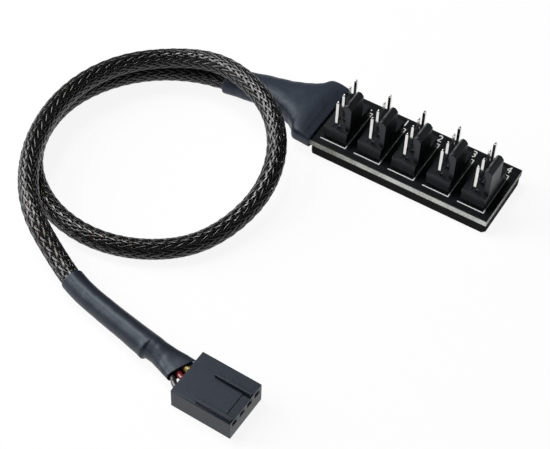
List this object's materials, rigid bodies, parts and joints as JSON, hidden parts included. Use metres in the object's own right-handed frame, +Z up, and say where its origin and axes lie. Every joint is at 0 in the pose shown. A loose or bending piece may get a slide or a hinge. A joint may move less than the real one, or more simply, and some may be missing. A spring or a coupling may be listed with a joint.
{
  "type": "pwm fan splitter cable",
  "caption": "Fan splitter: a sleeved lead with a female plug feeds a small hub board that carries a row of pin headers with friction locks.",
  "frame": {"origin": "middle of the hub board's footprint on the surface that the foam pad stands on", "axes": "+X along the board from the cable end to the free end, +Y across the board to the back, +Z up off the board"},
  "size_m": [0.0969, 0.0886, 0.0148],
  "materials": {
    "board": "black solder mask on glass-fibre board",
    "foam": "closed-cell adhesive foam",
    "header_plastic": "moulded nylon",
    "tinned_pin": "tin plate on brass",
    "solder": "bright solder",
    "sleeve": "braided monofilament",
    "wire_ground": "wire insulation",
    "wire_supply": "wire insulation",
    "wire_sense": "wire insulation",
    "wire_control": "wire insulation",
    "shrink": "satin heat-shrink tube",
    "plug_plastic": "moulded nylon",
    "terminal": "tinned sheet metal"
  },
  "bodies": {
    "root": {"circuit_board": "board", "foam_pad": "foam", "header_1_housing": "header_plastic", "header_1_pin_1": "tinned_pin", "header_1_pin_2": "tinned_pin", "header_1_pin_3": "tinned_pin", "header_1_pin_4": "tinned_pin", "header_1_solder": "solder", "header_2_housing": "header_plastic", "header_2_pin_1": "tinned_pin", "header_2_pin_2": "tinned_pin", "header_2_pin_3": "tinned_pin", "header_2_pin_4": "tinned_pin", "header_2_solder": "solder", "header_3_housing": "header_plastic", "header_3_pin_1": "tinned_pin", "header_3_pin_2": "tinned_pin", "header_3_pin_3": "tinned_pin", "header_3_pin_4": "tinned_pin", "header_3_solder": "solder", "header_4_housing": "header_plastic", "header_4_pin_1": "tinned_pin", "header_4_pin_2": "tinned_pin", "header_4_pin_3": "tinned_pin", "header_4_pin_4": "tinned_pin", "header_4_solder": "solder", "header_5_housing": "header_plastic", "header_5_pin_1": "tinned_pin", "header_5_pin_2": "tinned_pin", "header_5_pin_3": "tinned_pin", "header_5_pin_4": "tinned_pin", "header_5_solder": "solder", "wire_solder": "solder", "cable_sleeve": "sleeve", "board_wire_ground": "wire_ground", "plug_wire_ground": "wire_ground", "board_wire_supply": "wire_supply", "plug_wire_supply": "wire_supply", "board_wire_sense": "wire_sense", "plug_wire_sense": "wire_sense", "board_wire_control": "wire_control", "plug_wire_control": "wire_control", "board_shrink": "shrink", "plug_shrink": "shrink", "plug_housing": "plug_plastic", "plug_terminal_1": "terminal", "plug_terminal_2": "terminal", "plug_terminal_3": "terminal", "plug_terminal_4": "terminal"}
  },
  "joints": []
}
